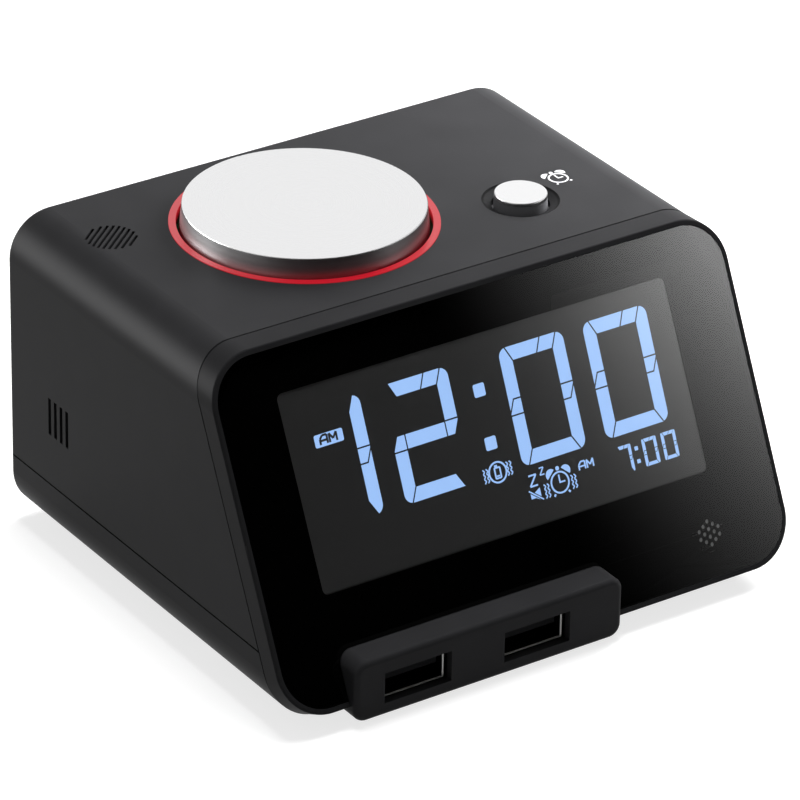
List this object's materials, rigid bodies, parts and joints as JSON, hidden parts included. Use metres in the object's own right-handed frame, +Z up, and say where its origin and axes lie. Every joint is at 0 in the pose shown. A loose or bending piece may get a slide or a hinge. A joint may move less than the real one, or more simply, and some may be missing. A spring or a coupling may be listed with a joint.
{
  "type": "bed shaker alarm clock",
  "caption": "Wedge-shaped bedside alarm clock with tilted display, turn-and-press dial in a red light ring, alarm button, front charging sockets and rear jacks for adapter and bed shaker.",
  "frame": {"origin": "middle of the footprint, on the floor the feet stand on", "axes": "+X to the viewer's right, +Y to the back, +Z up; the display faces -Y and up"},
  "size_m": [0.1142, 0.1006, 0.0686],
  "materials": {
    "case_plastic": "fine matt texture",
    "clear_lens": "clear polished",
    "black_film": "black print",
    "display_glass": "dark display glass",
    "light_guide": "clear moulded",
    "grey_plastic": "moulded",
    "black_plastic": "moulded",
    "elastomer": "soft matt",
    "board": "coated laminate",
    "ribbon": "flat cable",
    "satin_aluminium": "satin turned",
    "red_light": "translucent red",
    "plated_steel": "plated",
    "gold": "plated",
    "cell_can": "plain can"
  },
  "bodies": {
    "case": {"alarm_switch": "black_plastic", "backlight_panel": "light_guide", "battery_cells": "cell_can", "battery_contacts": "plated_steel", "board_chips": "black_plastic", "board_screws": "plated_steel", "bottom_cover": "case_plastic", "case_screws": "plated_steel", "dc_jack": "black_plastic", "dc_pin": "plated_steel", "display_board": "board", "display_ribbon": "ribbon", "encoder_body": "grey_plastic", "front_bezel": "case_plastic", "front_lens": "clear_lens", "lcd_connector": "elastomer", "lcd_frame": "grey_plastic", "lcd_panel": "display_glass", "lens_mask": "black_film", "light_ring": "red_light", "main_board": "board", "mode_switch": "black_plastic", "ribbon_sockets": "grey_plastic", "ring_leds": "light_guide", "rubber_feet": "elastomer", "sensor_pipe": "light_guide", "set_switches": "black_plastic", "shaker_collar": "plated_steel", "shaker_jack": "black_plastic", "speaker_basket": "grey_plastic", "speaker_cone": "black_plastic", "speaker_magnet": "plated_steel", "top_board": "board", "upper_housing": "case_plastic", "usb_board": "board", "usb_contacts": "gold", "usb_ribbon": "ribbon", "usb_shelf": "case_plastic", "usb_shells": "plated_steel", "usb_tongues": "black_plastic"},
    "knob_rotor": {"encoder_rotor": "black_plastic"},
    "knob": {"knob_cap": "satin_aluminium", "knob_carrier": "black_plastic", "encoder_shaft": "plated_steel"},
    "alarm_button": {"alarm_button_body": "black_plastic", "alarm_button_disc": "satin_aluminium", "alarm_stem": "black_plastic"},
    "set_button_left": {"set_button_2": "black_plastic", "set_stem_2": "black_plastic"},
    "set_button_right": {"set_button_1": "black_plastic", "set_stem_1": "black_plastic"},
    "mode_slider": {"mode_slider": "black_plastic"},
    "battery_door": {"battery_door": "case_plastic"}
  },
  "joints": [
    {"name": "knob_turn", "type": "hinge", "parent": "case", "child": "knob_rotor", "pos_m": [-0.0108, 0.0178, 0.0686], "axis": [0, 0, 1], "continuous": true},
    {"name": "knob_press", "type": "slide", "parent": "knob_rotor", "child": "knob", "axis": [0, 0, -1], "range_m": [0, 0.0012], "stiffness_N_per_m": 1500, "springref_m": -0.001},
    {"name": "alarm_press", "type": "slide", "parent": "case", "child": "alarm_button", "axis": [0, 0, -1], "range_m": [0, 0.001], "stiffness_N_per_m": 1200, "springref_m": -0.0008},
    {"name": "set_press_left", "type": "slide", "parent": "case", "child": "set_button_left", "axis": [0, -1, 0], "range_m": [0, 0.0008], "stiffness_N_per_m": 1200, "springref_m": -0.0008},
    {"name": "set_press_right", "type": "slide", "parent": "case", "child": "set_button_right", "axis": [0, -1, 0], "range_m": [0, 0.0008], "stiffness_N_per_m": 1200, "springref_m": -0.0008},
    {"name": "mode_slide", "type": "slide", "parent": "case", "child": "mode_slider", "axis": [1, 0, 0], "range_m": [-0.002, 0.002]},
    {"name": "door_slide", "type": "slide", "parent": "case", "child": "battery_door", "axis": [0, 1, 0], "range_m": [0, 0.036]}
  ]
}
